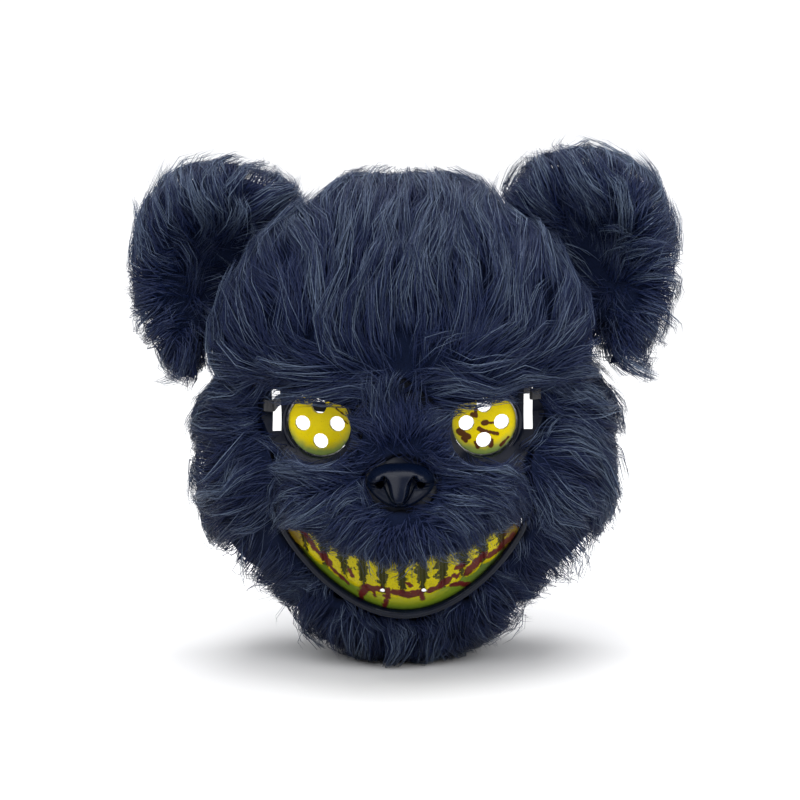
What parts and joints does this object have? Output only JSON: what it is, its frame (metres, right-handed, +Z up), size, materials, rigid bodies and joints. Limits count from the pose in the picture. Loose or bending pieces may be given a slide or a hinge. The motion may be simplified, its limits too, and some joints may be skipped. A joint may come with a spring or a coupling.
{
  "type": "costume mask",
  "caption": "Furry bear mask with cupped plush ears, pierced yellow eye discs, a wide toothed grin, a glossy nose and an elastic strap, standing on its chin",
  "frame": {"origin": "middle of the base: the point under the middle of the bounding box at the level of the chin fur's flat bottom", "axes": "+Z up, the face looks along -Y, +X to the right as seen from the front, over both ears"},
  "size_m": [0.3, 0.163, 0.2822],
  "materials": {
    "fur": "long near-black faux fur with a faint blue-grey sheen",
    "ear_fur": "long near-black faux fur over padding",
    "black_plastic": "glossy black moulded plastic",
    "eye_plastic": "glossy yellow shading to green-grey at the lower edge, painted with dark red marks",
    "teeth_plastic": "glossy yellow teeth over a lime-green gum, painted with dark red runs",
    "strap": "black woven elastic"
  },
  "bodies": {
    "root": {"mask_shell": "black_plastic", "nose": "black_plastic", "eye_disc_left": "eye_plastic", "eye_disc_right": "eye_plastic", "teeth_plate": "teeth_plastic", "crown_fur": "fur", "muzzle_fur": "fur", "cheek_fur_left": "fur", "cheek_fur_right": "fur", "chin_fur": "fur", "ear_left": "ear_fur", "ear_right": "ear_fur", "elastic_strap": "strap"}
  },
  "joints": []
}
